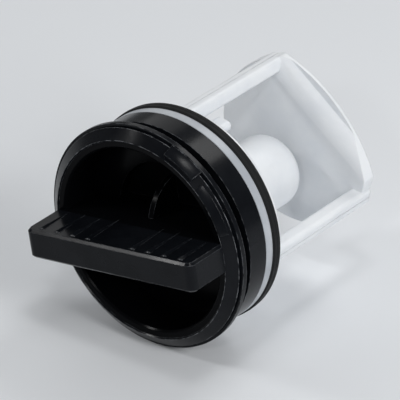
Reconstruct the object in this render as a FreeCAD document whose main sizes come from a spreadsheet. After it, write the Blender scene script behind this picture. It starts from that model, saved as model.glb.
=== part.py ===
import FreeCAD, Part
import os
import re
import Sketcher

# Screw-out filter of a washing machine's drain pump.
# The filter's axis is Y: the handle faces -Y and the cage reaches to +Y, into the pump.
# The origin is on the axis, at the middle of the seal ring that sits in the housing's bore.
# Inside each sub-part, Y = 0 is the seat: the front face of the white flange.

# Driving sizes, in millimetres and degrees
SIZES = {
    # Round outline that the cap's rear band shares with the flange
    "body_radius": 30.0,
    # Cap: rim, ridge, groove and rear band
    "rim_setback": 1.5,
    "rim_wall": 2.9,
    "rim_height": 14.0,
    "rim_edge": 0.5,
    "ridge_rise": 1.6,
    "ridge_distance": 2.4,
    "ridge_width": 1.4,
    "groove_depth": 2.6,
    "band_width": 6.4,
    "band_wall": 1.6,
    # Cap: cup, with a recess in its floor, and the stem behind it
    "cup_wall": 1.3,
    "floor_height": 2.0,
    "recess_margin": 8.6,
    "recess_depth": 3.6,
    "floor_wall": 1.6,
    "stem_margin": 4.1,
    "stem_wall": 1.4,
    "bead_height": 0.4,
    "bead_width": 1.2,
    # Cap: bar handle with grip grooves, cored from behind, and the round rib across it
    "handle_turn": 10.1,
    "bar_inset": 0.5,
    "bar_bite": 0.4,
    "bar_thickness": 8.2,
    "bar_height": 13.4,
    "bar_corner": 2.2,
    "bar_edge": 0.7,
    "bar_wall": 1.8,
    "core_length": 8.4,
    "core_depth": 21.0,
    "grip_first": 7.5,
    "grip_pitch": 5.3,
    "grip_width": 2.2,
    "grip_depth": 0.55,
    "grip_margin": 1.7,
    "grip_length": 14.0,
    "grip_tilt": 2.4,
    "rib_radius": 12.3,
    "rib_thickness": 1.6,
    # Cap: short lug and long pad on the front band
    "lug_middle": 55.5,
    "lug_angle": 17.0,
    "lug_rise": 1.5,
    "pad_middle": 26.5,
    "pad_angle": 28.0,
    "pad_rise": 0.7,
    "lug_margin": 0.5,
    # Insert: flange, seal groove, lip and disc
    "flange_thickness": 2.6,
    "flange_width": 6.0,
    "seal_groove_depth": 3.0,
    "lip_setback": 1.2,
    "lip_thickness": 1.6,
    "disc_thickness": 3.0,
    # Insert: blunt hub on its drum, off the axis by a little
    "hub_radius": 10.2,
    "hub_gap": 3.0,
    "hub_edge": 5.0,
    "hub_wall": 1.6,
    "hub_offset": 2.1,
    "drum_height": 4.2,
    # Insert: window side, posts and stub
    "window_turn": 47.5,
    "upper_post_angle": 49.1,
    "lower_post_angle": 57.5,
    "post_width": 4.8,
    "post_thickness": 4.2,
    "post_inset": 0.7,
    "post_corner": 1.2,
    "stub_angle": 36.5,
    "stub_inset": 7.0,
    "stub_width": 4.8,
    "stub_thickness": 2.8,
    "stub_length": 10.6,
    "stub_corner": 1.3,
    "stub_edge": 0.8,
    # Insert: end plate, an eccentric disc cut off by a flatter brow, with a rolled window edge
    "plate_reach": 44.0,
    "plate_thickness": 4.0,
    "plate_setback": 5.0,
    "plate_shift": 7.3,
    "plate_corner": 1.5,
    "brow_setback": 3.7,
    "brow_shift": 18.1,
    "roll_turn": 6.5,
    "roll_width": 6.0,
    "brim_width": 1.9,
    "brim_thickness": 1.0,
    # Seal ring
    "seal_rise": 0.4,
    "seal_width": 3.2,
    "seal_edge": 0.5,
    # Clearances
    "running_gap": 0.15,
    "bearing_clearance": 0.05,
    "snap_clearance": 0.3,
    "seal_clearance": 0.05,
    # Depth by which one form runs into another that it is moulded with
    "root_depth": 1.0,
}

NEAR = 1e-4

# Turns about the filter's axis go from X towards Z
FREE_TURN = FreeCAD.Vector(0, -1, 0)

# A sketch turned in its own plane
SKETCH_NORMAL = FreeCAD.Vector(0, 0, 1)

doc = FreeCAD.newDocument("pump_filter")
sheet = doc.addObject("Spreadsheet::Sheet", "Sizes")
for row, (alias, number) in enumerate(SIZES.items(), start=1):
    sheet.set(f"A{row}", alias)
    sheet.set(f"B{row}", str(number))
    sheet.setAlias(f"B{row}", alias)
doc.recompute()


def sized(text):
    """Turn plain size words into references to the sheet's cells."""
    return re.sub(r"[a-z_]+", r"Sizes.\g<0>", text)


def size(text):
    """Work out an expression of size words."""
    return float(sheet.evalExpression(sized(text)))


def bind(thing, **expressions):
    """Bind an object's properties to the sheet."""
    for name, text in expressions.items():
        thing.setExpression(name, sized(text))


def new_body(label, turn):
    """A sub-part whose seat lies in front of the seal's middle, turned about the axis."""
    body = doc.addObject("PartDesign::Body", label)
    body.Label = label
    body.Placement.Rotation = FreeCAD.Rotation(FREE_TURN, 1)
    body.setExpression("Placement.Base.y", sized("-(flange_thickness + seal_width / 2)"))
    body.setExpression("Placement.Rotation.Angle", sized(turn))
    return body


def origin_feature(body, role):
    """One of the body's own planes or axes."""
    return next(item for item in body.Origin.OriginFeatures if item.Role == role)


def side_sketch(body, name, turn="0", shift="0"):
    """A sketch in a plane through the axis: x is the distance from the axis, y is along it."""
    sketch = body.newObject("Sketcher::SketchObject", name)
    sketch.AttachmentSupport = [(origin_feature(body, "XY_Plane"), "")]
    sketch.MapMode = "FlatFace"
    sketch.AttachmentOffset = FreeCAD.Placement(
        FreeCAD.Vector(), FreeCAD.Rotation(FREE_TURN, 1))
    sketch.setExpression("AttachmentOffset.Rotation.Angle", sized(turn))
    sketch.setExpression("AttachmentOffset.Base.z", sized(shift))
    return sketch


def cross_sketch(body, name, along, turn="0", axis=SKETCH_NORMAL):
    """A sketch across the axis at a place along it: x is X and y is Z, before the turn."""
    sketch = body.newObject("Sketcher::SketchObject", name)
    sketch.AttachmentSupport = [(origin_feature(body, "XZ_Plane"), "")]
    sketch.MapMode = "FlatFace"
    sketch.AttachmentOffset = FreeCAD.Placement(
        FreeCAD.Vector(), FreeCAD.Rotation(axis, 1))
    sketch.setExpression("AttachmentOffset.Rotation.Angle", sized(turn))
    sketch.setExpression("AttachmentOffset.Base.z", sized(f"-({along})"))
    return sketch


def hold_point(sketch, edge, end, place):
    """Hold one end of an edge at a place given by two expressions."""
    for kind, text in zip(("DistanceX", "DistanceY"), place):
        held = sketch.addConstraint(Sketcher.Constraint(kind, -1, 1, edge, end, size(text)))
        sketch.setExpression(f"Constraints[{held}]", sized(text))


def hold_radius(sketch, edge, text):
    """Hold the radius of an arc or circle."""
    held = sketch.addConstraint(Sketcher.Constraint("Radius", edge, size(text)))
    sketch.setExpression(f"Constraints[{held}]", sized(text))


def vector(place):
    """The sketch point that two expressions give."""
    return FreeCAD.Vector(size(place[0]), size(place[1]), 0)


def polygon(sketch, places):
    """A closed outline of straight edges through the given places."""
    first = sketch.GeometryCount
    count = len(places)
    for index, place in enumerate(places):
        following = places[(index + 1) % count]
        sketch.addGeometry(Part.LineSegment(vector(place), vector(following)))
    for index, place in enumerate(places):
        after = (index + 1) % count
        sketch.addConstraint(Sketcher.Constraint("Coincident", first + index, 2, first + after, 1))
        hold_point(sketch, first + index, 1, place)


def rectangle(sketch, left, right, bottom, top):
    """A rectangle between two x and two y places."""
    polygon(sketch, [(left, bottom), (right, bottom), (right, top), (left, top)])


def rounded_rectangle(sketch, left, right, bottom, top, radius):
    """A rectangle with round corners, as four straight edges joined by four arcs."""
    first = sketch.GeometryCount
    runs = [
        ((f"{left} + {radius}", bottom), (f"{right} - {radius}", bottom)),
        ((right, f"{bottom} + {radius}"), (right, f"{top} - {radius}")),
        ((f"{right} - {radius}", top), (f"{left} + {radius}", top)),
        ((left, f"{top} - {radius}"), (left, f"{bottom} + {radius}")),
    ]
    for start, end in runs:
        edge = sketch.addGeometry(Part.LineSegment(vector(start), vector(end)))
        hold_point(sketch, edge, 1, start)
        hold_point(sketch, edge, 2, end)
    corners = [(right, bottom, "-", ""), (right, top, "-", "-"), (left, top, "", "-"), (left, bottom, "", "")]
    for index, (across, along, leftward, downward) in enumerate(corners):
        begin = vector(runs[index][1])
        finish = vector(runs[(index + 1) % len(runs)][0])
        inward = FreeCAD.Vector(-1 if leftward else 1, -1 if downward else 1, 0) * size(radius)
        sharp = vector((across, along))
        centre = sharp + inward
        middle = centre - inward / 2 ** 0.5
        arc = sketch.addGeometry(Part.Arc(begin, middle, finish))
        begin_end = 1 if sketch.getPoint(arc, 1).distanceToPoint(begin) < NEAR else 2
        sketch.addConstraint(Sketcher.Constraint("Coincident", arc, begin_end, first + index, 2))
        sketch.addConstraint(
            Sketcher.Constraint("Coincident", arc, 3 - begin_end, first + (index + 1) % len(runs), 1))
        hold_radius(sketch, arc, radius)


def revolve(body, sketch, name, angle=None):
    """Turn a side sketch about its own upright axis, all the way or evenly to both sides."""
    feature = body.newObject("PartDesign::Revolution", name)
    feature.Profile = sketch
    feature.ReferenceAxis = (sketch, ["V_Axis"])
    if angle:
        feature.Midplane = True
        bind(feature, Angle=angle)
    else:
        feature.Angle = 360
    doc.recompute()
    return feature


def extrude(body, sketch, name, kind, length, backwards=False):
    """Pad or pocket a sketch; a cross sketch's own direction is to the front."""
    feature = body.newObject(f"PartDesign::{kind}", name)
    feature.Profile = sketch
    feature.Reversed = backwards
    bind(feature, Length=length)
    doc.recompute()
    return feature


def chosen_edges(base, name, chosen):
    """The names of the edges of a feature for which the test holds."""
    edges = [f"Edge{number}" for number, edge in enumerate(base.Shape.Edges, start=1) if chosen(edge)]
    if not edges:
        raise RuntimeError(f"{name}: no edge to work on")
    return edges


def round_edges(body, base, name, radius, chosen):
    """Round the edges of a feature for which the test holds."""
    edges = chosen_edges(base, name, chosen)
    feature = body.newObject("PartDesign::Fillet", name)
    feature.Base = (base, edges)
    bind(feature, Radius=radius)
    doc.recompute()
    return feature


def bevel_edges(body, base, name, width, chosen):
    """Bevel the edges of a feature for which the test holds."""
    edges = chosen_edges(base, name, chosen)
    feature = body.newObject("PartDesign::Chamfer", name)
    feature.Base = (base, edges)
    bind(feature, Size=width)
    doc.recompute()
    return feature


def is_ring(edge, radius, along):
    """Whether an edge is a circle of that radius at that place along the axis."""
    curve = edge.Curve
    if not isinstance(curve, Part.Circle):
        return False
    return abs(curve.Radius - size(radius)) < NEAR and abs(curve.Center.y - size(along)) < NEAR


# Places along the axis that more than one form uses
RIM_FRONT = "-rim_height"
BAR_FRONT = "-(rim_height + bar_height)"
CUP_FLOOR = "-floor_height"
RECESS_FLOOR = "recess_depth - floor_height"
RECESS_BACK = "recess_depth - floor_height + floor_wall"
CAP_BACK = "-running_gap"
SEAL_FRONT = "flange_thickness"
SEAL_BACK = "flange_thickness + seal_width"
DISC_BACK = "flange_thickness + seal_width + lip_thickness"
DISC_FRONT = f"{DISC_BACK} - disc_thickness"
DRUM_TOP = f"{DISC_BACK} + drum_height"
PLATE_BACK = "plate_reach + plate_thickness"
HUB_END = "plate_reach - hub_gap"

# Radii that more than one form uses
RIM_OUTER = "body_radius - rim_setback"
RIM_INNER = f"{RIM_OUTER} - rim_wall"
RECESS_RADIUS = f"{RIM_INNER} - recess_margin"
STEM_RADIUS = f"{RECESS_RADIUS} - stem_margin"
BORE_RADIUS = f"{STEM_RADIUS} + bearing_clearance"
BEAD_RADIUS = f"{STEM_RADIUS} + bead_height"
DRUM_INNER = f"{BEAD_RADIUS} + snap_clearance + hub_offset"
SEAL_INNER = "body_radius - seal_groove_depth"
SEAL_OUTER = "body_radius + seal_rise"
LIP_RADIUS = "body_radius - lip_setback"
PLATE_RADIUS = f"{LIP_RADIUS} - plate_setback"
BROW_APEX = f"{LIP_RADIUS} - brow_setback"
BROW_RADIUS = f"{BROW_APEX} + brow_shift"


def build_cap():
    """The cap: a cup with a bar handle, a ridged and grooved outside, and a snap-in stem."""
    body = new_body("cap", "handle_turn")
    build_bar(body)
    build_cup(body)
    cut_grips(body)
    build_rib(body)
    build_lugs(body)
    core_bar(body)
    return body


def build_bar(body):
    """The bar across the cup, which reaches down to the floor and the recess."""
    def both_sides(half_outline):
        mirrored = [(f"-({across})", along) for across, along in reversed(half_outline)]
        return half_outline + mirrored

    sketch = side_sketch(body, "bar_side")
    head_half = f"{RIM_OUTER} - bar_inset"
    root_half = f"{RIM_INNER} + bar_bite"
    recess_half = f"{RECESS_RADIUS} + floor_wall / 2"
    shoulder = f"{RIM_FRONT} + rim_edge"
    floor_root = f"{CUP_FLOOR} + floor_wall / 2"
    recess_root = f"{RECESS_FLOOR} + floor_wall / 2"
    polygon(sketch, both_sides([
        (head_half, BAR_FRONT),
        (head_half, shoulder),
        (root_half, shoulder),
        (root_half, floor_root),
        (recess_half, floor_root),
        (recess_half, recess_root),
    ]))
    bar = body.newObject("PartDesign::Pad", "bar")
    bar.Profile = sketch
    bar.Midplane = True
    bind(bar, Length="bar_thickness")
    doc.recompute()

    front = size(BAR_FRONT)
    rim = size(RIM_FRONT)
    half_thickness = size("bar_thickness / 2")

    def is_front_corner(edge):
        box = edge.BoundBox
        upright = box.XLength < NEAR and abs(abs(box.Center.x) - size(head_half)) < NEAR
        return upright and box.YLength < NEAR and abs(box.Center.y - front) < NEAR

    corners = round_edges(body, bar, "bar_corners", "bar_corner", is_front_corner)

    def is_head_outline(edge):
        box = edge.BoundBox
        level = abs(abs(box.Center.z) - half_thickness) < NEAR and box.ZLength < NEAR
        return level and box.Center.y < rim - NEAR

    bevel_edges(body, corners, "bar_bevel", "bar_edge", is_head_outline)


def build_cup(body):
    """The turned form of the cap, from the rim back to the end of the stem."""
    ridge_front = "-(rim_height - ridge_distance)"
    ridge_back = f"{ridge_front} + ridge_width"
    ridge_radius = "body_radius + ridge_rise"
    groove_radius = "body_radius - groove_depth"
    band_front = f"{CAP_BACK} - band_width"
    bead_front = f"{DISC_BACK} + running_gap"
    stem_end = f"{bead_front} + bead_width"
    stem_inner = f"{STEM_RADIUS} - stem_wall"
    core_front = f"{CAP_BACK} - band_width + band_wall"
    core_outer = "body_radius - band_wall"
    core_inner = f"{RIM_INNER} + cup_wall"
    bulge_radius = f"{RECESS_RADIUS} + floor_wall"
    sketch = side_sketch(body, "cup_section")
    polygon(sketch, [
        (RIM_INNER, f"{RIM_FRONT} + rim_edge"),
        (f"{RIM_INNER} + rim_edge", RIM_FRONT),
        (f"{RIM_OUTER} - rim_edge", RIM_FRONT),
        (RIM_OUTER, f"{RIM_FRONT} + rim_edge"),
        (RIM_OUTER, ridge_front),
        (ridge_radius, ridge_front),
        (ridge_radius, ridge_back),
        (groove_radius, ridge_back),
        (groove_radius, band_front),
        ("body_radius", band_front),
        ("body_radius", CAP_BACK),
        (core_outer, CAP_BACK),
        (core_outer, core_front),
        (core_inner, core_front),
        (core_inner, CAP_BACK),
        (bulge_radius, CAP_BACK),
        (bulge_radius, RECESS_BACK),
        (STEM_RADIUS, RECESS_BACK),
        (STEM_RADIUS, bead_front),
        (BEAD_RADIUS, f"{bead_front} + bead_height"),
        (f"{STEM_RADIUS} - bead_height", stem_end),
        (stem_inner, stem_end),
        (stem_inner, RECESS_BACK),
        ("0", RECESS_BACK),
        ("0", RECESS_FLOOR),
        (RECESS_RADIUS, RECESS_FLOOR),
        (RECESS_RADIUS, CUP_FLOOR),
        (RIM_INNER, CUP_FLOOR),
    ])
    revolve(body, sketch, "cup")


def cut_grips(body):
    """The grip grooves on both broad sides of the bar, deepest in front and run out behind."""
    for name, level, sense in (("upper_grips", "", 1), ("lower_grips", "-", -1)):
        axis = FreeCAD.Vector(sense, 0, 0)
        sketch = cross_sketch(body, f"{name}_section", f"{BAR_FRONT} + grip_margin", "grip_tilt", axis)
        mouth = f"{level}(bar_thickness / 2 + grip_depth / 5)"
        bottom = f"{level}(bar_thickness / 2 - grip_depth)"
        for side in ("", "-"):
            for index in range(4):
                middle = f"{side}(grip_first + {index} * grip_pitch)"
                polygon(sketch, [(f"{middle} - 0.6 * grip_width", mouth), (middle, bottom),
                                 (f"{middle} + 0.6 * grip_width", mouth)])
        extrude(body, sketch, name, "Pocket", "grip_length")


def build_rib(body):
    """The thin round rib that crosses the bar at its middle and stands on the recess floor."""
    sketch = side_sketch(body, "rib_section", turn="90")
    foot = f"{RECESS_FLOOR} + floor_wall / 2"
    left = vector(("-rib_radius", foot))
    right = vector(("rib_radius", foot))
    crest = vector(("0", f"{foot} - rib_radius"))
    base = sketch.addGeometry(Part.LineSegment(right, left))
    arc = sketch.addGeometry(Part.Arc(left, crest, right))
    hold_point(sketch, base, 1, ("rib_radius", foot))
    hold_point(sketch, base, 2, ("-rib_radius", foot))
    sketch.addConstraint(Sketcher.Constraint("Coincident", arc, 1, base, 2))
    sketch.addConstraint(Sketcher.Constraint("Coincident", arc, 2, base, 1))
    held = sketch.addConstraint(Sketcher.Constraint("DistanceY", -1, 1, arc, 3, size(foot)))
    sketch.setExpression(f"Constraints[{held}]", sized(foot))
    rib = body.newObject("PartDesign::Pad", "rib")
    rib.Profile = sketch
    rib.Midplane = True
    bind(rib, Length="rib_thickness")
    doc.recompute()


def build_lugs(body):
    """The short lug and the long pad on the front band."""
    for name in ("lug", "pad"):
        sketch = side_sketch(body, f"{name}_section", turn=f"{name}_middle")
        rectangle(sketch, f"{RIM_OUTER} - root_depth", f"{RIM_OUTER} + {name}_rise",
                  f"{RIM_FRONT} + lug_margin", f"{RIM_FRONT} + ridge_distance + ridge_width / 2")
        revolve(body, sketch, name, angle=f"{name}_angle")


def core_bar(body):
    """Two slots that core the bar from behind, one on each side of the stem."""
    before = body.Shape.Volume
    sketch = cross_sketch(body, "core_section", RECESS_BACK)
    inner = f"{STEM_RADIUS} + cup_wall"
    outer = f"{inner} + core_length"
    half = "bar_thickness / 2 - bar_wall"
    rectangle(sketch, inner, outer, f"-({half})", half)
    rectangle(sketch, f"-({outer})", f"-({inner})", f"-({half})", half)
    extrude(body, sketch, "bar_cores", "Pocket", "core_depth", backwards=True)
    if body.Shape.Volume > before - 1:
        raise RuntimeError("the bar was not cored")


def build_insert():
    """The white insert: a flange, a disc with a hub, and a cage of two posts and an end plate."""
    body = new_body("filter_insert", "window_turn")
    build_plate(body)
    build_flange(body)
    build_hub(body)
    build_posts(body)
    build_stub(body)
    return body


def build_plate(body):
    """The end plate: an eccentric disc, flatter on the window side, where its front rolls away."""
    sketch = cross_sketch(body, "plate_outline", "plate_reach")
    disc_centre = ("plate_shift", "0")
    brow_centre = ("-brow_shift", "0")
    between = size("plate_shift + brow_shift")
    disc_radius = size(PLATE_RADIUS)
    brow_radius = size(BROW_RADIUS)
    corner_run = (between ** 2 + brow_radius ** 2 - disc_radius ** 2) / (2 * between)
    corner = FreeCAD.Vector(corner_run - size("brow_shift"), (brow_radius ** 2 - corner_run ** 2) ** 0.5, 0)
    mirrored = FreeCAD.Vector(corner.x, -corner.y, 0)
    far_side = FreeCAD.Vector(size("plate_shift") - disc_radius, 0, 0)
    near_side = FreeCAD.Vector(size(BROW_APEX), 0, 0)
    disc = sketch.addGeometry(Part.Arc(corner, far_side, mirrored))
    brow = sketch.addGeometry(Part.Arc(mirrored, near_side, corner))
    sketch.addConstraint(Sketcher.Constraint("Coincident", disc, 2, brow, 1))
    sketch.addConstraint(Sketcher.Constraint("Coincident", brow, 2, disc, 1))
    for edge, centre, radius in ((disc, disc_centre, PLATE_RADIUS), (brow, brow_centre, BROW_RADIUS)):
        hold_point(sketch, edge, 3, centre)
        hold_radius(sketch, edge, radius)
    plate = extrude(body, sketch, "plate", "Pad", "plate_thickness", backwards=True)

    def is_corner(edge):
        ends = [vertex.Point for vertex in edge.Vertexes]
        return len(ends) == 2 and all(abs(abs(point.z) - corner.y) < NEAR for point in ends) \
            and abs(ends[0].x - ends[1].x) < NEAR and abs(ends[0].z - ends[1].z) < NEAR

    round_edges(body, plate, "plate_corners", "plate_corner", is_corner)

    brim_front = f"{PLATE_BACK} - brim_thickness"
    roll_end = f"{BROW_APEX} - brim_width"
    roll_start = f"{roll_end} - roll_width"
    roll_run = size("roll_width")
    roll_fall = size(brim_front) - size("plate_reach")
    roll_radius = (roll_run ** 2 + roll_fall ** 2) / (2 * roll_fall)
    start = vector((roll_start, "plate_reach"))
    end = vector((roll_end, brim_front))
    half_turn = FreeCAD.Vector(roll_run / 2, 0, 0)
    chord_bow = roll_radius - (roll_radius ** 2 - half_turn.x ** 2) ** 0.5
    middle = start + half_turn + FreeCAD.Vector(0, chord_bow, 0)
    outside = BROW_RADIUS
    ahead = "plate_reach - root_depth"
    roll = side_sketch(body, "roll_section", turn="roll_turn")
    arc = roll.addGeometry(Part.Arc(start, middle, end))
    places = [(roll_end, brim_front), (outside, brim_front), (outside, ahead), (roll_start, ahead),
              (roll_start, "plate_reach")]
    for here, following in zip(places, places[1:]):
        roll.addGeometry(Part.LineSegment(vector(here), vector(following)))
    for edge, place in enumerate(places[:-1], start=1):
        hold_point(roll, edge, 1, place)
        after = edge + 1 if edge < len(places) - 1 else arc
        if after != arc:
            roll.addConstraint(Sketcher.Constraint("Coincident", edge, 2, after, 1))
    last = len(places) - 1
    hold_point(roll, last, 2, places[-1])
    join_arc(roll, arc, last)
    cut = body.newObject("PartDesign::Pocket", "rolled_edge")
    cut.Profile = roll
    cut.Midplane = True
    before = plate.Shape.Volume
    bind(cut, Length=f"4 * ({PLATE_RADIUS})")
    doc.recompute()
    if cut.Shape.Volume > before - 1:
        raise RuntimeError("the window edge was not rolled")


def join_arc(sketch, arc, last):
    """Join the roll's arc to the outline, square to the line that comes down to its start."""
    ends = {1: sketch.getPoint(arc, 1), 2: sketch.getPoint(arc, 2)}
    begin = sketch.getPoint(last, 2)
    near_end = min(ends, key=lambda end: ends[end].distanceToPoint(begin))
    far_end = 3 - near_end
    sketch.addConstraint(Sketcher.Constraint("Coincident", last, 2, arc, near_end))
    sketch.addConstraint(Sketcher.Constraint("Coincident", 1, 1, arc, far_end))
    sketch.addConstraint(Sketcher.Constraint("PointOnObject", arc, 3, last))


def build_flange(body):
    """The flange, the groove for the seal, the lip behind it and the disc with its bore."""
    cavity_radius = "body_radius - flange_width"
    sketch = side_sketch(body, "flange_section")
    polygon(sketch, [
        (cavity_radius, "0"),
        ("body_radius", "0"),
        ("body_radius", SEAL_FRONT),
        (SEAL_INNER, SEAL_FRONT),
        (SEAL_INNER, SEAL_BACK),
        (LIP_RADIUS, SEAL_BACK),
        (LIP_RADIUS, DISC_BACK),
        (BORE_RADIUS, DISC_BACK),
        (BORE_RADIUS, DISC_FRONT),
        (cavity_radius, DISC_FRONT),
    ])
    revolve(body, sketch, "flange")


def build_hub(body):
    """The hollow hub with its blunt end, on a drum that gives the snap bead room."""
    drum_outer = f"{DRUM_INNER} + hub_wall"
    drum_root = f"{DISC_BACK} - root_depth"
    inner_end = f"{HUB_END} - hub_edge"
    inner_radius = "hub_radius - hub_wall"
    sketch = side_sketch(body, "hub_section", shift="-hub_offset")
    polygon(sketch, [
        (drum_outer, drum_root),
        (drum_outer, DRUM_TOP),
        ("hub_radius", DRUM_TOP),
        ("hub_radius", HUB_END),
        ("0", HUB_END),
        ("0", inner_end),
        (inner_radius, inner_end),
        (inner_radius, f"{DRUM_TOP} - hub_wall"),
        (DRUM_INNER, f"{DRUM_TOP} - hub_wall"),
        (DRUM_INNER, drum_root),
    ])
    hub = revolve(body, sketch, "hub")

    def is_tip(edge):
        return is_ring(edge, "hub_radius", HUB_END)

    round_edges(body, hub, "hub_end", "hub_edge", is_tip)


def build_posts(body):
    """The two posts, just inside the lip's outline, from the disc to the plate."""
    root = f"{DISC_BACK} - root_depth"
    outer = f"{LIP_RADIUS} - post_inset"
    for name, axis in (("upper_post", SKETCH_NORMAL), ("lower_post", -SKETCH_NORMAL)):
        sketch = cross_sketch(body, f"{name}_section", root, f"{name}_angle", axis)
        rounded_rectangle(sketch, f"{outer} - post_thickness", outer,
                          "-post_width / 2", "post_width / 2", "post_corner")
        length = f"{PLATE_BACK} - brim_thickness / 2 - ({root})"
        extrude(body, sketch, name, "Pad", length, backwards=True)


def build_stub(body):
    """The short rounded stub that stands on the disc beside one post."""
    sketch = cross_sketch(body, "stub_section", f"{DISC_BACK} - root_depth", turn="stub_angle")
    outer = f"{LIP_RADIUS} - stub_inset + stub_thickness / 2"
    rounded_rectangle(sketch, f"{outer} - stub_thickness", outer,
                      "-stub_width / 2", "stub_width / 2", "stub_corner")
    stub = extrude(body, sketch, "stub", "Pad", "stub_length + root_depth", backwards=True)
    top = size(f"{DISC_BACK} + stub_length")
    middle = size(f"{LIP_RADIUS} - stub_inset")
    reach = size("stub_width + stub_thickness")

    def is_top(edge):
        box = edge.BoundBox
        if box.YLength > NEAR or abs(box.Center.y - top) > NEAR:
            return False
        turn = FreeCAD.Rotation(FREE_TURN, size("stub_angle"))
        return (turn.inverted().multVec(box.Center) - FreeCAD.Vector(middle, top, 0)).Length < reach

    bevel_edges(body, stub, "stub_top", "stub_edge", is_top)


def build_seal():
    """The rubber ring in the groove behind the flange."""
    body = new_body("seal_ring", "0")
    sketch = side_sketch(body, "seal_section")
    inner = f"{SEAL_INNER} + seal_clearance"
    front = f"{SEAL_FRONT} + seal_clearance"
    back = f"{SEAL_BACK} - seal_clearance"
    polygon(sketch, [
        (inner, front),
        (f"{SEAL_OUTER} - seal_edge", front),
        (SEAL_OUTER, f"{front} + seal_edge"),
        (SEAL_OUTER, f"{back} - seal_edge"),
        (f"{SEAL_OUTER} - seal_edge", back),
        (inner, back),
    ])
    revolve(body, sketch, "ring")
    return body


def check(bodies):
    """Stop if any object failed or any sub-part is not one valid solid."""
    doc.recompute()
    for item in doc.Objects:
        if "Invalid" in item.State or "Error" in item.State:
            raise RuntimeError(f"{item.Name} failed: {item.State}")
    for body in bodies:
        shape = body.Shape
        if shape.isNull() or not shape.isValid():
            raise RuntimeError(f"{body.Label} has no valid shape")
        if len(shape.Solids) != 1:
            raise RuntimeError(f"{body.Label} has {len(shape.Solids)} solids")


SUB_PARTS = [build_cap(), build_insert(), build_seal()]
check(SUB_PARTS)
os.makedirs("parts", exist_ok=True)
for sub_part in SUB_PARTS:
    sub_part.Shape.exportStep(f"parts/{sub_part.Label}.step")
    bounds = sub_part.Shape.BoundBox
    print(f"{sub_part.Label}: {sub_part.Shape.Volume / 1000:.2f} cm3, "
          f"{bounds.XLength:.1f} x {bounds.YLength:.1f} x {bounds.ZLength:.1f} mm")
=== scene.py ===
"""Looks of a screw-out pump filter: its finishes, the pieces added to its solids, light and camera.

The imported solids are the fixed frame. Every length is in metres in the part's own frame: the
filter's axis is Y, the handle faces -Y, and the origin is at the middle of the seal ring.
"""
import logging
import math
from dataclasses import dataclass, field, replace
from enum import Enum

import bmesh
import bpy
from mathutils import Matrix, Vector


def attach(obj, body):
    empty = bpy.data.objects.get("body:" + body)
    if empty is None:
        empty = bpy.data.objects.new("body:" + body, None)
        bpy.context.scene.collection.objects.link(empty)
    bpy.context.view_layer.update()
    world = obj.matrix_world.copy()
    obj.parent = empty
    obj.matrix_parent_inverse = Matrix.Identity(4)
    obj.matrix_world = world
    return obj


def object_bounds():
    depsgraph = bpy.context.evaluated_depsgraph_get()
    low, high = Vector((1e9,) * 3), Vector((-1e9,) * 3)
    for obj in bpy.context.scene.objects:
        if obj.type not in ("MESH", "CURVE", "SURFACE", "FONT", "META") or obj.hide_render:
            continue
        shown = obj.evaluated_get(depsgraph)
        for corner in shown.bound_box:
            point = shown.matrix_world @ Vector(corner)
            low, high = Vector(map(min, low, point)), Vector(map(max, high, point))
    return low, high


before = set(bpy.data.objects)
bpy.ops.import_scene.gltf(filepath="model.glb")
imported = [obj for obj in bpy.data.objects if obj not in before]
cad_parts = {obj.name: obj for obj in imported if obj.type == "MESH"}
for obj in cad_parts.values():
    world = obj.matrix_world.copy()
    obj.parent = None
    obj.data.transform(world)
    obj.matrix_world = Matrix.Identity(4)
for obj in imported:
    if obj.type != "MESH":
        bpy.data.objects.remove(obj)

SOLID_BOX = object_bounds()
LOG = logging.getLogger("pump_filter")
MM = 0.001
Triple = tuple[float, float, float]
Tone = Triple
Span = tuple[float, float]
Outline = tuple[Span, ...]
Socket = bpy.types.NodeSocket
Sockets = dict[str, Socket]
Value = Socket | float
Colour = Socket | Tone
WHOLE: Span = (0.0, 1.0)

# Detail of the added meshes
BUTTON_SIDES = 24
BUTTON_TAPER = 0.86
BUTTON_FACING = 0.9
QUAD_CORNERS = 4
BEAD_SIDES = 16
BEAD_RINGS = 8
RING_STEPS = 128
ARC_STEPS = 16
EDGE_STEPS = 3
SEAM_STEPS = 2
MERGE_DISTANCE = 0.001 * MM
BEVEL_ANGLE = math.radians(35)
SHADING_ANGLE = math.radians(40)


class Body(Enum):
    """The two bodies that turn against each other."""

    CAP = "cap"
    INSERT = "insert"


class Slot(Enum):
    """The part's three material slots."""

    BLACK = "black_plastic"
    WHITE = "white_plastic"
    RUBBER = "seal_rubber"


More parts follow.
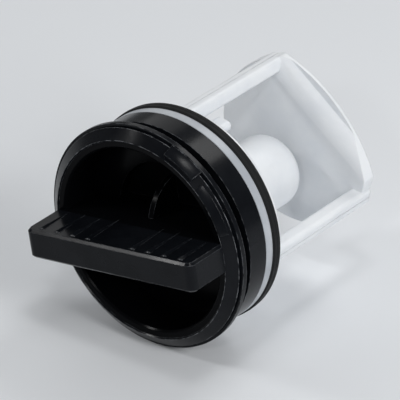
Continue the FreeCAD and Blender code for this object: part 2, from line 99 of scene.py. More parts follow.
class Wiring:
    """Adds and links nodes in one node tree."""

    def __init__(self, tree: bpy.types.NodeTree) -> None:
        """Keep the tree that the nodes go into.

        Args:
            tree: The node tree of a material or a group.
        """
        self.tree = tree

    def add(self, kind: str, **settings: object) -> bpy.types.Node:
        """Add one node.

        Args:
            kind: The node's type name.
            **settings: Properties to set on the new node.

        Returns:
            The new node.
        """
        node = self.tree.nodes.new(kind)
        for name, value in settings.items():
            setattr(node, name, value)
        return node

    def link(self, source: Socket, target: Socket) -> None:
        """Link an output socket to an input socket."""
        self.tree.links.new(source, target)

    def feed(self, socket: Socket, value: Value | Colour) -> None:
        """Give a socket a link, a number or a tone.

        Args:
            socket: The input socket.
            value: An output socket, a number or three numbers of a tone.
        """
        if isinstance(value, Socket):
            self.link(value, socket)
        elif isinstance(value, tuple):
            socket.default_value = (*value, 1.0)
        else:
            socket.default_value = value

    def calculate(self, operation: str, first: Value, second: Value) -> Socket:
        """Add a clamped Math node.

        Args:
            operation: The name of the operation.
            first: A socket or a number.
            second: A socket or a number.

        Returns:
            The node's output.
        """
        node = self.add("ShaderNodeMath", operation=operation, use_clamp=True)
        for socket, value in zip(node.inputs, (first, second)):
            self.feed(socket, value)
        return node.outputs[0]

    def spread(self, value: Socket, span: Span, out: tuple[Value, Value] = WHOLE) -> Socket:
        """Map a value's span to another, with clamping.

        Args:
            value: The socket to map.
            span: The values that become the two ends.
            out: The two ends, as numbers or sockets.

        Returns:
            The mapped value.
        """
        node = self.add("ShaderNodeMapRange", interpolation_type="SMOOTHSTEP", clamp=True)
        names = ("Value", "From Min", "From Max", "To Min", "To Max")
        for name, item in zip(names, (value, *span, *out)):
            self.feed(node.inputs[name], item)
        return node.outputs["Result"]

    def blend(self, share: Value, first: Colour, second: Colour) -> Socket:
        """Mix two colours.

        Args:
            share: How much of the second colour shows.
            first: A colour, as a socket or a tone.
            second: A colour, as a socket or a tone.

        Returns:
            The mixed colour.
        """
        node = self.add("ShaderNodeMix", data_type="RGBA")
        sockets = {socket.identifier: socket for socket in node.inputs}
        for name, item in (("Factor_Float", share), ("A_Color", first), ("B_Color", second)):
            self.feed(sockets[name], item)
        return next(socket for socket in node.outputs if socket.identifier == "Result_Color")

    def noise(self, place: Socket, scale: Socket, detail: float, roughness: float = 0.5) -> Socket:
        """Add a noise pattern.

        Args:
            place: The place on the object.
            scale: How fine the pattern is.
            detail: How many finer layers it has.
            roughness: How strong the finer layers are.

        Returns:
            The pattern's value.
        """
        node = self.add("ShaderNodeTexNoise")
        for name, item in (("Vector", place), ("Scale", scale), ("Detail", detail),
                           ("Roughness", roughness)):
            self.feed(node.inputs[name], item)
        return node.outputs["Fac"]

    def radius(self, place: Socket) -> Socket:
        """Measure a place's distance from the filter's axis.

        Args:
            place: The place on the object.

        Returns:
            The distance.
        """
        flat = self.add("ShaderNodeVectorMath", operation="MULTIPLY")
        flat.inputs[1].default_value = (1.0, 0.0, 1.0)
        self.link(place, flat.inputs[0])
        away = self.add("ShaderNodeVectorMath", operation="LENGTH")
        self.link(flat.outputs["Vector"], away.inputs[0])
        return away.outputs["Value"]

    def group(self, tree: bpy.types.NodeTree, place: Socket,
              **values: Value | Colour) -> bpy.types.Node:
        """Place one shared group.

        Args:
            tree: The group's tree.
            place: The place on the object.
            **values: The group's other inputs, by name, with _ for a space.

        Returns:
            The group's node.
        """
        node = self.add("ShaderNodeGroup", node_tree=tree)
        self.link(place, node.inputs["Place"])
        for label, value in values.items():
            self.feed(node.inputs[label.replace("_", " ")], value)
        return node


@dataclass
class SharedEffects:
    """The shader node groups that the finishes share, each built once."""

    cloud_detail: float = 4.0
    cloud_roughness: float = 0.6
    cloud_span: Span = (0.32, 0.68)
    grain_detail: float = 2.0
    edge_samples: int = 6
    edge_span: Span = (0.976, 0.90)
    break_detail: float = 5.0
    break_span: Span = (0.36, 0.64)
    streak_turn: Triple = (0.4, 0.2, 0.9)
    streak_stretch: Triple = (1.0, 0.07, 1.0)
    streak_detail: float = 3.0
    streak_span: Span = (0.60, 0.74)

    def __post_init__(self) -> None:
        """Build every group."""
        self.skin = self._moulded_skin()
        self.edges = self._worn_edges()
        self.marks = self._handling_marks()

    @staticmethod
    def _start(name: str, inputs: dict[str, str],
               outputs: dict[str, str]) -> tuple[Wiring, Sockets, Sockets]:
        """Start a group with its sockets.

        Args:
            name: The group's name.
            inputs: Socket types by name.
            outputs: Socket types by name.

        Returns:
            The wiring, the sockets to read from and the sockets to write to.
        """
        tree = bpy.data.node_groups.new(name, "ShaderNodeTree")
        for direction, sockets in (("INPUT", inputs), ("OUTPUT", outputs)):
            for label, kind in sockets.items():
                tree.interface.new_socket(label, in_out=direction, socket_type=kind)
        wiring = Wiring(tree)
        given = wiring.add("NodeGroupInput")
        result = wiring.add("NodeGroupOutput")
        return (wiring, {label: given.outputs[label] for label in inputs},
                {label: result.inputs[label] for label in outputs})

    def _moulded_skin(self) -> bpy.types.NodeTree:
        """Build the cloudy tone, the cloud itself and the fine grain of a moulded surface.

        Returns:
            The group's tree.
        """
        wiring, given, result = self._start(
            "moulded_skin",
            {"Place": "NodeSocketVector", "Deep Tone": "NodeSocketColor",
             "Light Tone": "NodeSocketColor", "Cloud Scale": "NodeSocketFloat",
             "Grain Scale": "NodeSocketFloat"},
            {"Tone": "NodeSocketColor", "Cloud": "NodeSocketFloat", "Grain": "NodeSocketFloat"})
        cloud = wiring.noise(given["Place"], given["Cloud Scale"],
                             self.cloud_detail, self.cloud_roughness)
        share = wiring.spread(cloud, self.cloud_span)
        wiring.link(wiring.blend(share, given["Deep Tone"], given["Light Tone"]), result["Tone"])
        wiring.link(share, result["Cloud"])
        grain = wiring.noise(given["Place"], given["Grain Scale"], self.grain_detail)
        wiring.link(grain, result["Grain"])
        return wiring.tree

    def _worn_edges(self) -> bpy.types.NodeTree:
        """Build the softened normal at an edge, and a broken mask for its wear and painted highlight.

        Returns:
            The group's tree.
        """
        wiring, given, result = self._start(
            "worn_edges",
            {"Place": "NodeSocketVector", "Width": "NodeSocketFloat",
             "Break Scale": "NodeSocketFloat"},
            {"Mask": "NodeSocketFloat", "Normal": "NodeSocketVector"})
        soft = wiring.add("ShaderNodeBevel", samples=self.edge_samples)
        wiring.link(given["Width"], soft.inputs["Radius"])
        surface = wiring.add("ShaderNodeNewGeometry")
        lean = wiring.add("ShaderNodeVectorMath", operation="DOT_PRODUCT")
        wiring.link(soft.outputs["Normal"], lean.inputs[0])
        wiring.link(surface.outputs["Normal"], lean.inputs[1])
        edge = wiring.spread(lean.outputs["Value"], self.edge_span)
        broken = wiring.noise(given["Place"], given["Break Scale"], self.break_detail)
        patches = wiring.spread(broken, self.break_span)
        wiring.link(wiring.calculate("MULTIPLY", edge, patches), result["Mask"])
        wiring.link(soft.outputs["Normal"], result["Normal"])
        return wiring.tree

    def _handling_marks(self) -> bpy.types.NodeTree:
        """Build the thin rubbed streaks along the axis, which dull the gloss.

        Returns:
            The group's tree.
        """
        wiring, given, result = self._start(
            "handling_marks",
            {"Place": "NodeSocketVector", "Scale": "NodeSocketFloat"}, {"Mask": "NodeSocketFloat"})
        stretch = wiring.add("ShaderNodeMapping")
        stretch.inputs["Rotation"].default_value = self.streak_turn
        stretch.inputs["Scale"].default_value = self.streak_stretch
        wiring.link(given["Place"], stretch.inputs["Vector"])
        streak = wiring.noise(stretch.outputs["Vector"], given["Scale"], self.streak_detail)
        wiring.link(wiring.spread(streak, self.streak_span), result["Mask"])
        return wiring.tree


@dataclass(frozen=True)
class PaintedRimShade:
    """A grey painted shade that lies on a rim, outside a given radius."""

    tone: Tone
    radius: float
    blur: float
    share: float
    thinning: float = 0.8

    def paint_shade(self, wiring: Wiring, place: Socket, clean: Socket, cloud: Socket) -> Socket:
        """Paint the shade over a clean tone.

        Args:
            wiring: The wiring of the material's tree.
            place: The place on the object.
            clean: The tone without the painted shade.
            cloud: A cloudy value that makes the painted shade lighter here and there.

        Returns:
            The tone with the painted shade.
        """
        # Painted shade: the tone turns grey outside the radius, lighter where the cloud thins it.
        outside = wiring.spread(wiring.radius(place), (self.radius - self.blur, self.radius))
        thickness = wiring.spread(cloud, WHOLE, (self.share, self.thinning * self.share))
        return wiring.blend(wiring.calculate("MULTIPLY", outside, thickness), clean, self.tone)


@dataclass(frozen=True)
class ShadedCupInside:
    """The inside of a cup, behind its lip: a darker tone painted as shade, and a duller gloss."""

    tone: Tone
    radius: float
    lip: float
    blur: float
    specular: float
    edge_wear: float
    worn_span: Span

    def mask(self, wiring: Wiring, place: Socket) -> Socket:
        """Find the inside of the cup.

        Args:
            wiring: The wiring of the material's tree.
            place: The place on the object.

        Returns:
            One inside the cup and zero outside it.
        """
        parts = wiring.add("ShaderNodeSeparateXYZ")
        wiring.link(place, parts.inputs["Vector"])
        inside = wiring.spread(wiring.radius(place), (self.radius, self.radius - self.blur))
        behind = wiring.spread(parts.outputs["Y"], (self.lip, self.lip + self.blur))
        return wiring.calculate("MULTIPLY", inside, behind)

    def wear(self, wiring: Wiring, place: Socket, inside: Socket, outside_wear: float) -> Socket:
        """Say how strongly edges are lightened, as wear and painted highlight: inside the cup only
        near the axis.

        Args:
            wiring: The wiring of the material's tree.
            place: The place on the object.
            inside: One inside the cup and zero outside it.
            outside_wear: The wear of edges outside the cup.

        Returns:
            The wear.
        """
        inner_wear = wiring.spread(wiring.radius(place), self.worn_span, (0.0, self.edge_wear))
        return wiring.spread(inside, WHOLE, (outside_wear, inner_wear))


@dataclass(frozen=True)
class MouldedFinish:
    """One moulded material: tones, gloss, grain, streaks, edges lightened by wear and painted
    highlight, painted shade.
    """

    name: str
    deep: Tone
    light: Tone
    worn: Tone
    gloss: Span
    cloud_scale: float
    grain_scale: float
    grain_depth: float
    edge_width: float
    edge_wear: float
    streaks: float
    specular: float = 0.5
    glow: float = 0.0
    glow_depth: float = 0.0
    glow_tint: Triple = (1.0, 0.95, 0.9)
    break_fineness: float = 6.0
    streak_fineness: float = 14.0
    relief: float = 0.6
    corner_reach: float = 1.0 * MM
    corner_samples: int = 4
    outer_span: Span = (0.66, 0.88)
    rim_shade: PaintedRimShade | None = None
    shaded_cup: ShadedCupInside | None = None

    def make(self, effects: SharedEffects) -> bpy.types.Material:
        """Build the material from the shared groups.

        Args:
            effects: The node groups that every finish uses.

        Returns:
            The finished material.
        """
        material = bpy.data.materials.new(self.name)
        material.use_nodes = True
        wiring = Wiring(material.node_tree)
        wiring.tree.nodes.clear()
        shader = wiring.add("ShaderNodeBsdfPrincipled")
        surface = wiring.add("ShaderNodeOutputMaterial")
        wiring.link(shader.outputs["BSDF"], surface.inputs["Surface"])
        place = wiring.add("ShaderNodeTexCoord").outputs["Object"]
        skin = wiring.group(effects.skin, place, Deep_Tone=self.deep, Light_Tone=self.light,
                            Cloud_Scale=self.cloud_scale, Grain_Scale=self.grain_scale)
        edges = wiring.group(effects.edges, place, Width=self.edge_width,
                             Break_Scale=self.cloud_scale * self.break_fineness)
        marks = wiring.group(effects.marks, place, Scale=self.cloud_scale * self.streak_fineness)
        self._colour(wiring, shader, place, skin, edges)
        gloss = wiring.spread(skin.outputs["Cloud"], WHOLE, self.gloss)
        dulled = wiring.calculate("MULTIPLY", marks.outputs["Mask"], self.streaks)
        wiring.link(wiring.calculate("ADD", gloss, dulled), shader.inputs["Roughness"])
        relief = wiring.add("ShaderNodeBump")
        relief.inputs["Strength"].default_value = self.relief
        relief.inputs["Distance"].default_value = self.grain_depth
        wiring.link(skin.outputs["Grain"], relief.inputs["Height"])
        wiring.link(edges.outputs["Normal"], relief.inputs["Normal"])
        wiring.link(relief.outputs["Normal"], shader.inputs["Normal"])
        if self.glow:
            shader.inputs["Subsurface Weight"].default_value = self.glow
            shader.inputs["Subsurface Radius"].default_value = self.glow_tint
            shader.inputs["Subsurface Scale"].default_value = self.glow_depth
        return material

    def _colour(self, wiring: Wiring, shader: bpy.types.Node, place: Socket,
                skin: bpy.types.Node, edges: bpy.types.Node) -> None:
        """Give the shader its tone and its specular level.

        Args:
            wiring: The wiring of the material's tree.
            shader: The shader.
            place: The place on the object.
            skin: The moulded skin.
            edges: The worn edges.
        """
        tone = skin.outputs["Tone"]
        wear = self.edge_wear
        level = shader.inputs["Specular IOR Level"]
        level.default_value = self.specular
        if self.shaded_cup:
            inside = self.shaded_cup.mask(wiring, place)
            # Painted shade: the inside of the cup gets a darker tone.
            tone = wiring.blend(inside, tone, self.shaded_cup.tone)
            wear = self.shaded_cup.wear(wiring, place, inside, self.edge_wear)
            wiring.link(wiring.spread(inside, WHOLE, (self.specular, self.shaded_cup.specular)), level)
        # Lighter outer edges: wear, and on the black partly a painted highlight.
        exposed = wiring.calculate("MULTIPLY", edges.outputs["Mask"], self._outer_edges(wiring))
        tone = wiring.blend(wiring.calculate("MULTIPLY", exposed, wear), tone, self.worn)
        # Painted shade on the rim.
        if self.rim_shade:
            tone = self.rim_shade.paint_shade(wiring, place, tone, skin.outputs["Cloud"])
        wiring.link(tone, shader.inputs["Base Color"])

    def _outer_edges(self, wiring: Wiring) -> Socket:
        """Find the edges that stick out, because an inner corner isn't rubbed.

        Args:
            wiring: The wiring of the material's tree.

        Returns:
            One in the open and zero in an inner corner.
        """
        open_air = wiring.add("ShaderNodeAmbientOcclusion", samples=self.corner_samples,
                              only_local=True)
        open_air.inputs["Distance"].default_value = self.corner_reach
        return wiring.spread(open_air.outputs["AO"], self.outer_span)


BLACK_PLASTIC = MouldedFinish(
    name="satin_black_plastic", deep=(0.0036, 0.0043, 0.0058), light=(0.0060, 0.0070, 0.0090),
    # The light edge tone is partly wear and partly a painted highlight.
    worn=(0.260, 0.276, 0.300), gloss=(0.16, 0.23), cloud_scale=90.0, grain_scale=2600.0,
    grain_depth=0.005 * MM, edge_width=0.26 * MM, edge_wear=0.60, streaks=0.03, specular=0.115,
    # The cup's inside: its darker tone is painted shade.
    shaded_cup=ShadedCupInside(tone=(0.0022, 0.0025, 0.0032), radius=27.66 * MM, lip=-18.75 * MM, blur=0.12 * MM,
                  specular=0.04, edge_wear=0.50, worn_span=(18.0 * MM, 15.0 * MM)))
# Black for the groove beads: its lighter tone is partly rubbed wear and partly a painted highlight.
RUBBED_GLINT_BLACK = replace(
    BLACK_PLASTIC, name="rubbed_glint_black_plastic", deep=(0.022, 0.024, 0.027),
    light=(0.040, 0.043, 0.048), specular=0.5, shaded_cup=None)
# Black for the front band and lug: its lighter, stronger edges are partly wear and partly a painted
# highlight.
WORN_HIGHLIGHT_BLACK = replace(
    BLACK_PLASTIC, name="worn_highlight_black_plastic", worn=(0.46, 0.48, 0.51), edge_wear=0.85)
WHITE_PLASTIC = MouldedFinish(
    name="satin_white_plastic", deep=(0.75, 0.775, 0.805), light=(0.81, 0.83, 0.85),
    worn=(0.87, 0.875, 0.88), gloss=(0.34, 0.46), cloud_scale=70.0, grain_scale=2200.0,
    grain_depth=0.010 * MM, edge_width=0.45 * MM, edge_wear=0.5, streaks=0.12,
    glow=0.12, glow_depth=1.6 * MM,
    # The rim's grey tone is painted shade.
    rim_shade=PaintedRimShade(tone=(0.345, 0.37, 0.405), radius=29.7 * MM, blur=0.5 * MM, share=0.9))
SEAL_RUBBER = MouldedFinish(
    name="matte_seal_rubber", deep=(0.0045, 0.0049, 0.0055), light=(0.0085, 0.0091, 0.0099),
    worn=(0.030, 0.031, 0.033), gloss=(0.58, 0.74), cloud_scale=160.0, grain_scale=3200.0,
    grain_depth=0.03 * MM, edge_width=0.3 * MM, edge_wear=0.3, streaks=0.08, specular=0.24)


def millimetres(*pairs: Span) -> Outline:
    """Turn an outline's pairs of millimetres into metres."""
    return tuple((away * MM, along * MM) for away, along in pairs)


def turned(across: float, along: float, up: float, degrees: float) -> Vector:
    """A place turned about the filter's axis, from X towards Z.

    Args:
        across: Distance along X before the turn.
        along: Place along the axis.
        up: Distance along Z before the turn.
        degrees: The turn.

    Returns:
        The place in the part's frame.
    """
    angle = math.radians(degrees)
    return Vector((across * math.cos(angle) - up * math.sin(angle), along,
                   across * math.sin(angle) + up * math.cos(angle)))


def facing(direction: Vector) -> Matrix:
    """The turn that points a shape's own Z along a direction."""
    return direction.to_track_quat("Z", "Y").to_matrix().to_4x4()


def lying(degrees: float) -> Matrix:
    """The turn about the filter's axis, from X towards Z, as a matrix."""
    return Matrix.Rotation(-math.radians(degrees), 4, "Y")


@dataclass
class AddedPiece:
    """One piece that is added to a body: round marks, rings and arcs, collected in one mesh."""

    body: Body
    slot: Slot
    material: bpy.types.Material
    work: bmesh.types.BMesh = field(default_factory=bmesh.new)

    def soften(self, lines: list[bmesh.types.BMEdge], edge: float, steps: int = EDGE_STEPS) -> None:
        """Round some edges.

        Args:
            lines: The edges.
            edge: The size of the soft edge.
            steps: How many faces it has across.
        """
        bmesh.ops.bevel(self.work, geom=lines, offset=edge, segments=steps, profile=0.5,
                        affect="EDGES", material=-1)

    def button(self, place: Vector, direction: Vector, radius: float, height: float,
               edge: float) -> list[bmesh.types.BMFace]:
        """Add a low round button with a soft front edge, half sunk in the surface.

        Args:
            place: The button's middle on the surface.
            direction: The way that the surface faces.
            radius: The button's radius at its foot.
            height: How far it stands proud.
            edge: The size of its soft edge.

        Returns:
            The faces on the button's front.
        """
        made = bmesh.ops.create_cone(
            self.work, cap_ends=True, segments=BUTTON_SIDES, radius1=radius,
            radius2=radius * BUTTON_TAPER, depth=2 * height,
            matrix=Matrix.Translation(place) @ facing(direction))
        corners = [vert for vert in made["verts"] if (vert.co - place).dot(direction) > 0]
        rim = [line for line in self.work.edges if all(vert in corners for vert in line.verts)]
        self.soften(rim, edge)
        return [face for face in self.work.faces
                if len(face.verts) > QUAD_CORNERS and face.normal.dot(direction) > BUTTON_FACING
                and (face.calc_center_median() - place).length < radius]

    def _loop(self, outline: Outline,
              degrees: float) -> tuple[list[bmesh.types.BMVert], list[bmesh.types.BMEdge]]:
        """Draw a closed outline in a half-plane through the axis.

        Args:
            outline: Pairs of a radius and a place along the axis.
            degrees: The half-plane's turn from X towards Z.

        Returns:
            The outline's corners and its lines.
        """
        corners = [self.work.verts.new(turned(away, along, 0.0, degrees)) for away, along in outline]
        lines = [self.work.edges.new((corners[index - 1], corners[index]))
                 for index in range(len(corners))]
        return corners, lines

    def ring(self, outline: Outline) -> None:
        """Spin a closed outline all the way round the axis.

        Args:
            outline: Pairs of a radius and a place along the axis.
        """
        corners, lines = self._loop(outline, 0.0)
        bmesh.ops.spin(self.work, geom=corners + lines, cent=(0, 0, 0), axis=(0, 1, 0),
                       angle=2 * math.pi, steps=RING_STEPS, use_merge=True)
        bmesh.ops.remove_doubles(self.work, verts=self.work.verts, dist=MERGE_DISTANCE)

    def arc(self, outline: Outline, turns: Span, edge: float) -> None:
        """Spin a closed outline part of the way, close its ends and soften its edges.

        Args:
            outline: Pairs of a radius and a place along the axis.
            turns: The first and last turn, in degrees from X towards Z.
            edge: The size of the soft edge.
        """
        corners, lines = self._loop(outline, turns[0])
        self.work.faces.new(corners)
        swept = bmesh.ops.spin(self.work, geom=corners + lines, cent=(0, 0, 0), axis=(0, -1, 0),
                               angle=math.radians(turns[1] - turns[0]), steps=ARC_STEPS)
        end = [item for item in swept["geom_last"] if isinstance(item, bmesh.types.BMEdge)]
        bmesh.ops.edgeloop_fill(self.work, edges=end)
        bmesh.ops.recalc_face_normals(self.work, faces=self.work.faces)
        sharp = [line for line in self.work.edges if line.calc_face_angle(0.0) > BEVEL_ANGLE]
        self.soften(sharp, edge)

    def finish(self, name: str) -> None:
        """Turn the collected mesh into a piece that rides on the body.

        Args:
            name: The piece's name.
        """
        bmesh.ops.recalc_face_normals(self.work, faces=self.work.faces)
        mesh = bpy.data.meshes.new(name)
        self.work.to_mesh(mesh)
        self.work.free()
        mesh.shade_smooth()
        mesh.set_sharp_from_angle(angle=SHADING_ANGLE)
        mesh.materials.append(self.material)
        piece = bpy.data.objects.new(name, mesh)
        bpy.context.scene.collection.objects.link(piece)
        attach(piece, self.body.value)
        LOG.info("piece %s: %d faces on %s", name, len(mesh.polygons), self.body.value)


def dress(node: str, material: bpy.types.Material) -> None:
    """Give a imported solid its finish.

    Args:
        node: The solid's name.
        material: The finish.
    """
    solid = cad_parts[node]
    solid.data.materials.clear()
    solid.data.materials.append(material)
    LOG.info("solid %s: %s", node, material.name)


@dataclass
class Cap:
    """The black cap with its bar, its sloping front band with a lug and a pad, its beads and pips."""

    material: bpy.types.Material
    # The beads' black and the band's black: lighter, partly wear and partly painted highlight.
    rubbed: bpy.types.Material
    worn: bpy.types.Material
    turn: float = 10.1
    floor: float = -6.2 * MM
    recess: float = -2.6 * MM
    recess_radius: float = 17.0 * MM
    pip_places: tuple[float, ...] = (21.2 * MM, 18.4 * MM, 11.8 * MM)
    pip_offset: float = 6.7 * MM
    pip_radius: float = 0.55 * MM
    pip_height: float = 0.35 * MM
    pip_edge: float = 0.15 * MM
    band_outline: Outline = millimetres(
        (26.15, -18.10), (26.15, -18.22), (27.64, -18.32), (28.00, -18.72),
        (30.75, -16.47), (30.45, -15.70), (28.30, -15.70))
    lug_outline: Outline = millimetres(
        (28.20, -18.30), (29.90, -18.82), (31.50, -15.86), (28.30, -15.70))
    lug_turns: Span = (54.8, 74.2)
    pad_outline: Outline = millimetres(
        (27.84, -18.24), (28.35, -18.86), (30.31, -17.23), (29.95, -16.49))
    pad_turns: Span = (22.6, 50.6)
    plate_edge: float = 0.12 * MM
    bar_half: float = 4.1 * MM
    groove_places: tuple[float, ...] = (7.5 * MM, 12.8 * MM, 18.1 * MM, 23.4 * MM)
    groove_front: float = -29.85 * MM
    bead: Triple = (0.80 * MM, 0.36 * MM, 0.28 * MM)

    def build(self) -> None:
        """Dress the cap and add the pieces on it."""
        dress("cap", self.material)
        self.add_front_band()
        self.add_groove_beads()
        self.add_pips()

    def add_groove_beads(self) -> None:
        """The low bead that closes each grip groove's front end on both broad faces, in rubbed black
        with painted highlight.
        """
        beads = AddedPiece(Body.CAP, Slot.BLACK, self.rubbed)
        shape = lying(self.turn) @ Matrix.Diagonal((*self.bead, 1.0))
        for across in self.groove_places:
            for side in (-1, 1):
                for face in (-1, 1):
                    place = turned(side * across, self.groove_front, face * self.bar_half, self.turn)
                    bmesh.ops.create_uvsphere(
                        beads.work, u_segments=BEAD_SIDES, v_segments=BEAD_RINGS, radius=1.0,
                        matrix=Matrix.Translation(place) @ shape)
        beads.finish("groove_beads")

    def add_front_band(self) -> None:
        """The slope from the cup's lip to the ridge, and the faces of the lug and the pad on it."""
        # The band and the lug take the black whose lighter edges are partly a painted highlight.
        band = AddedPiece(Body.CAP, Slot.BLACK, self.worn)
        band.ring(self.band_outline)
        band.finish("front_band")
        for name, outline, turns, material in (
                ("lug_face", self.lug_outline, self.lug_turns, self.worn),
                ("pad_face", self.pad_outline, self.pad_turns, self.material)):
            plate = AddedPiece(Body.CAP, Slot.BLACK, material)
            plate.arc(outline, turns, self.plate_edge)
            plate.finish(name)

    def add_pips(self) -> None:
        """Three pips on each side of the bar."""
        pips = AddedPiece(Body.CAP, Slot.BLACK, self.material)
        forward = Vector((0, -1, 0))
        for half_turn in (0.0, 180.0):
            for across in self.pip_places:
                deep = math.hypot(across, self.pip_offset) < self.recess_radius
                place = turned(-across, self.recess if deep else self.floor, self.pip_offset,
                               self.turn + half_turn)
                pips.button(place, forward, self.pip_radius, self.pip_height, self.pip_edge)
        pips.finish("floor_pips")


@dataclass
class Insert:
    """The white cage, with the seams on its posts and the marks on the back of its end plate."""

    material: bpy.types.Material
    window_turn: float = 47.5
    post_turns: Span = (96.6, -10.0)
    post_radius: float = 28.1 * MM
    post_start: float = 3.4 * MM
    post_end: float = 43.0 * MM
    seam_width: float = 0.18 * MM
    seam_height: float = 0.05 * MM
    seam_edge: float = 0.02 * MM
    plate_back: float = 43.8 * MM
    plate_middle: float = 7.3 * MM
    pin_turns: tuple[float, ...] = (90.0, 180.0, 270.0)
    pin_distance: float = 13.0 * MM
    pin_radius: float = 2.0 * MM
    pin_height: float = 0.08 * MM
    pin_edge: float = 0.03 * MM
    pin_rim: float = 0.22 * MM
    pin_dip: float = 0.05 * MM
    gate_radius: float = 1.3 * MM
    gate_height: float = 0.22 * MM
    gate_edge: float = 0.06 * MM
    gate_rim: float = 0.35 * MM
    gate_dip: float = 0.12 * MM
    gate_ditch: float = 0.25 * MM
    gate_rise: float = 0.16 * MM

    def build(self) -> None:
        """Dress the insert and add its seams and marks."""
        dress("filter_insert", self.material)
        self.add_seams()
        self.add_back_marks()

    def add_seams(self) -> None:
        """The fine seam that the mould leaves along the outer face of each post."""
        seams = AddedPiece(Body.INSERT, Slot.WHITE, self.material)
        length = self.post_end - self.post_start
        shape = Matrix.Diagonal((2 * self.seam_height, length, self.seam_width, 1.0))
        for degrees in self.post_turns:
            middle = turned(self.post_radius, (self.post_start + self.post_end) / 2, 0.0, degrees)
            made = bmesh.ops.create_cube(
                seams.work, size=1.0, matrix=Matrix.Translation(middle) @ lying(degrees) @ shape)
            lines = {line for vert in made["verts"] for line in vert.link_edges}
            seams.soften(list(lines), self.seam_edge, SEAM_STEPS)
        seams.finish("post_seams")

    def add_back_marks(self) -> None:
        """Three round pin marks and the nub of the gate on the back of the end plate."""
        behind = Vector((0, 1, 0))
        centre = turned(self.plate_middle, self.plate_back, 0.0, self.window_turn)
        pins = AddedPiece(Body.INSERT, Slot.WHITE, self.material)
        for degrees in self.pin_turns:
            place = centre + turned(self.pin_distance, 0.0, 0.0, self.window_turn + degrees)
            front = pins.button(place, behind, self.pin_radius, self.pin_height, self.pin_edge)
            bmesh.ops.inset_region(pins.work, faces=front, thickness=self.pin_rim, depth=-self.pin_dip)
        pins.finish("pin_marks")
        gate = AddedPiece(Body.INSERT, Slot.WHITE, self.material)
        front = gate.button(centre, behind, self.gate_radius, self.gate_height, self.gate_edge)
        for thickness, depth in ((self.gate_rim, -self.gate_dip), (self.gate_ditch, self.gate_rise)):
            bmesh.ops.inset_region(gate.work, faces=front, thickness=thickness, depth=depth)
        gate.finish("gate_nub")


@dataclass
class Seal:
    """The rubber ring, with the thin flash line round its outside."""

    material: bpy.types.Material
    radius: float = 30.4 * MM
    flash_height: float = 0.07 * MM
    flash_width: float = 0.22 * MM

    def build(self) -> None:
        """Dress the ring and spin its flash line."""
        dress("seal_ring", self.material)
        flash = AddedPiece(Body.INSERT, Slot.RUBBER, self.material)
        half = self.flash_width / 2
        foot = self.radius - self.flash_height
        flash.ring(((foot, -half), (foot, half), (self.radius + self.flash_height, 0.0)))
        flash.finish("seal_flash")


@dataclass(frozen=True)
class Softbox:
    """One square lamp that points at the part."""

    name: str
    place: Triple
    side: float
    power: float

    def build(self, target: Vector) -> None:
        """Hang the lamp.

        Args:
            target: The point that the lamp looks at.
        """
        lamp = bpy.data.lights.new(self.name, "AREA")
        lamp.shape = "SQUARE"
        lamp.size = self.side
        lamp.energy = self.power
        hung = bpy.data.objects.new(self.name, lamp)
        hung.location = self.place
        hung.rotation_euler = (target - Vector(self.place)).to_track_quat("-Z", "Y").to_euler()
        bpy.context.scene.collection.objects.link(hung)


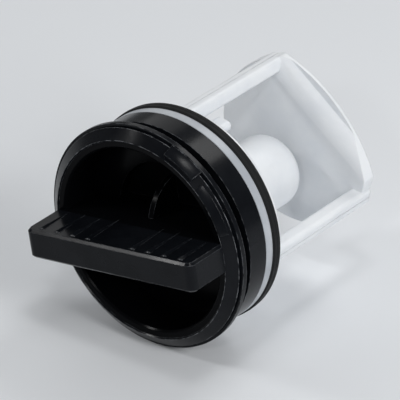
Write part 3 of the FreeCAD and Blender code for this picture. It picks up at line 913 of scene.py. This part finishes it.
@dataclass
class Studio:
    """The floor, the lamps, the room light and the camera."""

    target: Triple = (0.0, 0.012, 0.0)
    camera_place: Triple = (0.564688, -0.698610, 0.529052)
    camera_forward: Triple = (-0.539829, 0.673591, -0.504837)
    lens: float = 360.0
    sensor: float = 36.0
    nearest: float = 0.05
    floor_side: float = 6.0
    floor_gap: float = 0.02 * MM
    floor_tone: Tone = (0.80, 0.82, 0.845)
    floor_roughness: float = 0.75
    floor_specular: float = 0.2
    room_tone: Tone = (0.96, 0.98, 1.0)
    room_light: float = 0.20
    lamps: tuple[Softbox, ...] = (
        Softbox("overhead_softbox", (0.05, 0.50, 0.60), 0.30, 1.3),
        Softbox("top_softbox", (0.165, -0.17, 0.766), 0.13, 0.7),
        Softbox("window_softbox", (0.74, -0.12, 0.46), 0.30, 3.9),
        Softbox("left_softbox", (-0.66, -0.46, 0.58), 0.12, 1.5),
        Softbox("front_softbox", (0.34, -0.69, 0.54), 0.06, 0.7),
        Softbox("back_fill", (-0.55, 0.45, 0.45), 0.50, 0.6),
    )

    def build(self) -> None:
        """Set up everything round the part."""
        self.lay_floor()
        self.light_room()
        for lamp in self.lamps:
            lamp.build(Vector(self.target))
        self.set_camera()
        bpy.context.scene.view_settings.view_transform = "Standard"

    def lay_floor(self) -> None:
        """A wide pale floor just under the cap."""
        work = bmesh.new()
        level = SOLID_BOX[0].z - self.floor_gap
        bmesh.ops.create_grid(work, x_segments=1, y_segments=1, size=self.floor_side / 2,
                              matrix=Matrix.Translation((0.0, 0.0, level)))
        mesh = bpy.data.meshes.new("studio_floor")
        work.to_mesh(mesh)
        work.free()
        material = bpy.data.materials.new("pale_floor")
        material.use_nodes = True
        shader = material.node_tree.nodes["Principled BSDF"]
        shader.inputs["Base Color"].default_value = (*self.floor_tone, 1.0)
        shader.inputs["Roughness"].default_value = self.floor_roughness
        shader.inputs["Specular IOR Level"].default_value = self.floor_specular
        mesh.materials.append(material)
        floor = bpy.data.objects.new("studio_floor", mesh)
        bpy.context.scene.collection.objects.link(floor)

    def light_room(self) -> None:
        """An even room light."""
        world = bpy.data.worlds.new("studio_room")
        world.use_nodes = True
        room = world.node_tree.nodes["Background"]
        room.inputs["Color"].default_value = (*self.room_tone, 1.0)
        room.inputs["Strength"].default_value = self.room_light
        bpy.context.scene.world = world

    def set_camera(self) -> None:
        """A long lens at the photograph's angle."""
        view = bpy.data.cameras.new("studio_camera")
        view.lens = self.lens
        view.sensor_width = self.sensor
        view.clip_start = self.nearest
        camera = bpy.data.objects.new("studio_camera", view)
        camera.location = self.camera_place
        camera.rotation_euler = Vector(self.camera_forward).to_track_quat("-Z", "Y").to_euler()
        bpy.context.scene.collection.objects.link(camera)
        bpy.context.scene.camera = camera


def main() -> None:
    """Build the finishes, the three sub-assemblies and the studio."""
    logging.basicConfig(level=logging.INFO, format="%(name)s %(message)s")
    effects = SharedEffects()
    Cap(*(finish.make(effects) for finish in (BLACK_PLASTIC, RUBBED_GLINT_BLACK, WORN_HIGHLIGHT_BLACK))).build()
    Insert(WHITE_PLASTIC.make(effects)).build()
    Seal(SEAL_RUBBER.make(effects)).build()
    Studio().build()


if __name__ == "__main__":
    main()
